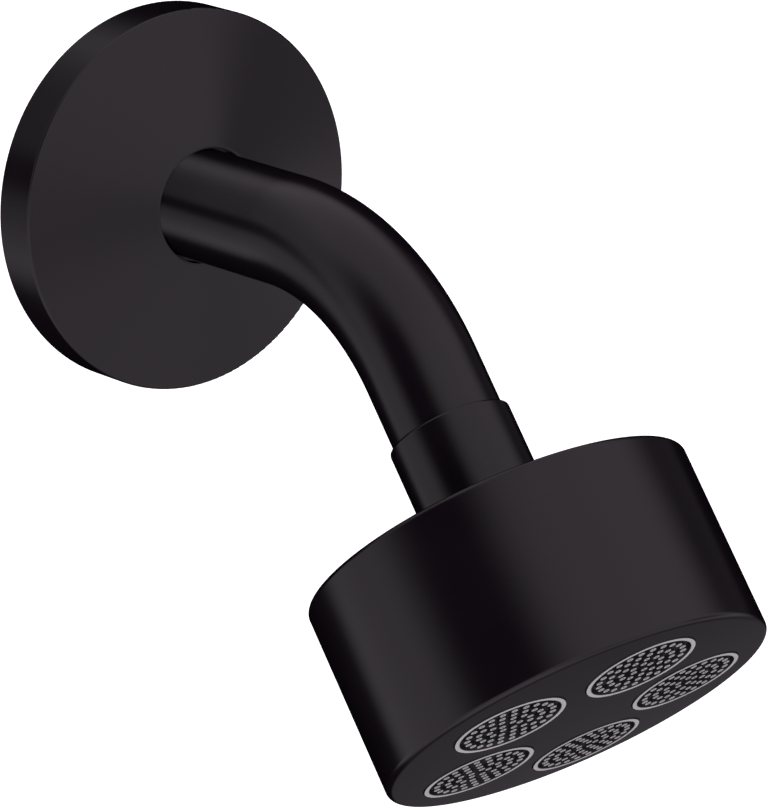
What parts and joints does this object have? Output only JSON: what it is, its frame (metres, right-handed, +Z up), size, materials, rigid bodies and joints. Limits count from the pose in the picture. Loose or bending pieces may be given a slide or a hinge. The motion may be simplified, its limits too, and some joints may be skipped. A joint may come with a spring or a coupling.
{
  "type": "shower head with arm",
  "caption": "Bent wall arm with a sliding conical flange and a short round shower head on a ball joint, with groups of soft jet nubs set in metal rings in its spray face.",
  "frame": {"origin": "centre of the arm's pipe in the plane of the finished wall", "axes": "+Y into the wall along the wall thread, -Y out into the room, +Z up, X = 0 is the plane that the arm bends in"},
  "size_m": [0.075, 0.1716, 0.1343],
  "materials": {
    "satin_black": "satin black coating on brass and steel",
    "ring_metal": "bright satin",
    "jet_silicone": "moulded grey silicone",
    "plate_black": "moulded black plastic",
    "inner_plastic": "moulded dark grey plastic",
    "seal_rubber": "black rubber",
    "slide_plastic": "natural bearing plastic",
    "plated_brass": "nickel plated, polished ball",
    "screw_steel": "stainless steel"
  },
  "bodies": {
    "arm": {"shower_arm": "satin_black", "collar_nut": "satin_black", "flow_limiter": "inner_plastic", "limiter_ring": "seal_rubber", "dirt_screen": "screw_steel", "outlet_washer": "seal_rubber", "ball_seal": "seal_rubber"},
    "flange": {"wall_flange": "satin_black", "grip_ring": "seal_rubber", "wall_seal": "seal_rubber"},
    "swivel": {"slide_ring": "slide_plastic"},
    "head": {"head_body": "satin_black", "head_cover": "satin_black", "cover_ring": "seal_rubber", "ball_stud": "plated_brass", "neck_ring": "seal_rubber", "chamber_lid": "inner_plastic", "inlet_ring": "seal_rubber", "lid_gasket": "seal_rubber", "water_chamber": "inner_plastic", "lid_screws": "screw_steel", "nozzle_ring_1": "ring_metal", "nozzle_ring_2": "ring_metal", "nozzle_ring_3": "ring_metal", "nozzle_ring_4": "ring_metal", "nozzle_ring_5": "ring_metal", "jet_plate_1": "plate_black", "jet_plate_2": "plate_black", "jet_plate_3": "plate_black", "jet_plate_4": "plate_black", "jet_plate_5": "plate_black", "nozzle_mat_1": "jet_silicone", "nozzle_mat_2": "jet_silicone", "nozzle_mat_3": "jet_silicone", "nozzle_mat_4": "jet_silicone", "nozzle_mat_5": "jet_silicone"}
  },
  "joints": [
    {"name": "flange_slide", "type": "slide", "parent": "arm", "child": "flange", "axis": [0, -1, 0], "range_m": [0, 0.024]},
    {"name": "head_swivel", "type": "hinge", "parent": "arm", "child": "swivel", "pos_m": [0, -0.09926, -0.03851], "axis": [0, -0.6455, -0.7638], "continuous": true},
    {"name": "head_tilt", "type": "hinge", "parent": "swivel", "child": "head", "pos_m": [0, -0.09926, -0.03851], "axis": [1, 0, 0], "range_deg": [-15, 15]}
  ]
}
